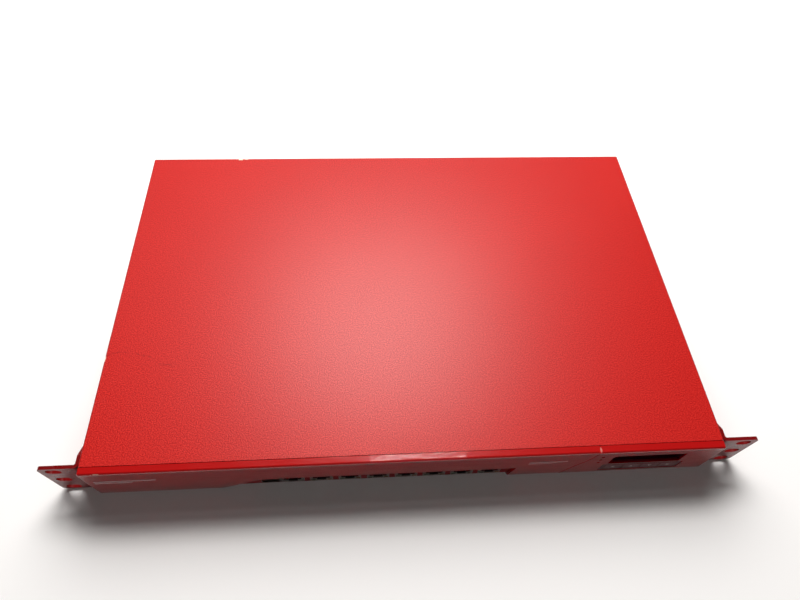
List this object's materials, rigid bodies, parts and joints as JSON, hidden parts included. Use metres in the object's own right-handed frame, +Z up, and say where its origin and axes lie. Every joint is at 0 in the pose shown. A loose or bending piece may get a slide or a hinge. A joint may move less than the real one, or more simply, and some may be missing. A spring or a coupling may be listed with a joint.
{
  "type": "rack-mount firewall appliance",
  "caption": "One-unit rack network firewall: red sheet-metal case, glossy bezel with network ports under a brow, display and keys at the right, slotted rack ears, rear power inlet and fans.",
  "frame": {"origin": "middle of the whole appliance's footprint, on the surface that it stands on", "axes": "+X to the right as the front is seen, +Y from the bezel to the rear, +Z up"},
  "size_m": [0.4826, 0.288, 0.044],
  "materials": {
    "case_paint": "red wrinkle powder coat",
    "bezel_paint": "glossy red lacquer",
    "ear_paint": "satin red powder coat",
    "panel_steel": "dark red satin paint",
    "strip_label": "grey printed label, matt",
    "key_plastic": "grey moulded plastic, satin",
    "window_clear": "dark tinted clear plastic, polished",
    "display_glass": "dark unlit display",
    "lamp_clear": "frosted clear plastic",
    "board_green": "green solder mask over glass fibre",
    "jack_plastic": "black moulded plastic",
    "shield_metal": "tin-plated sheet",
    "screw_steel": "zinc-plated steel",
    "ear_screw_steel": "black zinc steel",
    "brass_post": "machined brass",
    "chip_plastic": "black moulded epoxy",
    "sink_aluminium": "extruded, bare",
    "capacitor_can": "sleeved can",
    "cell_steel": "nickel-plated steel",
    "supply_zinc": "zinc-plated sheet",
    "fan_plastic": "black glass-filled plastic",
    "lead_insulation": "insulated leads",
    "switch_plastic": "black moulded plastic"
  },
  "bodies": {
    "appliance": {"chassis_tray": "case_paint", "top_cover": "case_paint", "front_bezel": "bezel_paint", "port_panel": "panel_steel", "rack_ear_left": "ear_paint", "rack_ear_right": "ear_paint", "key_strip": "strip_label", "key_switches": "chip_plastic", "lamp_lens_1": "lamp_clear", "lamp_lens_2": "lamp_clear", "lamp_lens_3": "lamp_clear", "display_window": "window_clear", "display_module": "display_glass", "control_board": "board_green", "console_jack": "jack_plastic", "port_shields": "shield_metal", "usb_ports": "shield_metal", "main_board": "board_green", "board_standoffs": "brass_post", "board_screws": "screw_steel", "processor": "chip_plastic", "processor_heatsink": "sink_aluminium", "heatsink_screws": "screw_steel", "chipset_heatsink": "sink_aluminium", "memory_socket": "chip_plastic", "memory_module": "board_green", "storage_module": "chip_plastic", "cell_holder": "chip_plastic", "coin_cell": "cell_steel", "board_capacitors": "capacitor_can", "network_transformers": "chip_plastic", "supply_case": "supply_zinc", "supply_cover": "supply_zinc", "supply_board": "board_green", "power_inlet": "switch_plastic", "switch_housing": "switch_plastic", "fan_1_frame": "fan_plastic", "fan_2_frame": "fan_plastic", "supply_fan_frame": "fan_plastic", "power_harness": "lead_insulation", "display_ribbon": "lead_insulation", "fan_leads": "lead_insulation", "ear_screws": "ear_screw_steel", "cover_screws": "ear_screw_steel", "fan_screws": "screw_steel", "network_jack_1": "jack_plastic", "network_jack_2": "jack_plastic", "network_jack_3": "jack_plastic", "network_jack_4": "jack_plastic", "network_jack_5": "jack_plastic", "network_jack_6": "jack_plastic", "network_jack_7": "jack_plastic"},
    "key_left": {"key_left": "key_plastic"},
    "key_up": {"key_up": "key_plastic"},
    "key_down": {"key_down": "key_plastic"},
    "key_right": {"key_right": "key_plastic"},
    "power_rocker": {"power_rocker": "switch_plastic"},
    "fan_1_rotor": {"fan_1_rotor": "fan_plastic"},
    "fan_2_rotor": {"fan_2_rotor": "fan_plastic"},
    "supply_fan_rotor": {"supply_fan_rotor": "fan_plastic"}
  },
  "joints": [
    {"name": "key_left_press", "type": "slide", "parent": "appliance", "child": "key_left", "axis": [0, 1, 0], "range_m": [0, 0.0008], "stiffness_N_per_m": 600, "springref_m": -0.0008},
    {"name": "key_up_press", "type": "slide", "parent": "appliance", "child": "key_up", "axis": [0, 1, 0], "range_m": [0, 0.0008], "stiffness_N_per_m": 600, "springref_m": -0.0008},
    {"name": "key_down_press", "type": "slide", "parent": "appliance", "child": "key_down", "axis": [0, 1, 0], "range_m": [0, 0.0008], "stiffness_N_per_m": 600, "springref_m": -0.0008},
    {"name": "key_right_press", "type": "slide", "parent": "appliance", "child": "key_right", "axis": [0, 1, 0], "range_m": [0, 0.0008], "stiffness_N_per_m": 600, "springref_m": -0.0008},
    {"name": "power_rocker_tilt", "type": "hinge", "parent": "appliance", "child": "power_rocker", "pos_m": [0.191, 0.1393, 0.0332], "axis": [0, 0, 1], "range_deg": [-18, 0]},
    {"name": "fan_1_spin", "type": "hinge", "parent": "appliance", "child": "fan_1_rotor", "pos_m": [-0.04, 0.1288, 0.0213], "axis": [0, 1, 0], "continuous": true},
    {"name": "fan_2_spin", "type": "hinge", "parent": "appliance", "child": "fan_2_rotor", "pos_m": [0.016, 0.1288, 0.0213], "axis": [0, 1, 0], "continuous": true},
    {"name": "supply_fan_spin", "type": "hinge", "parent": "appliance", "child": "supply_fan_rotor", "pos_m": [0.1525, 0.1288, 0.0214], "axis": [0, 1, 0], "continuous": true}
  ]
}
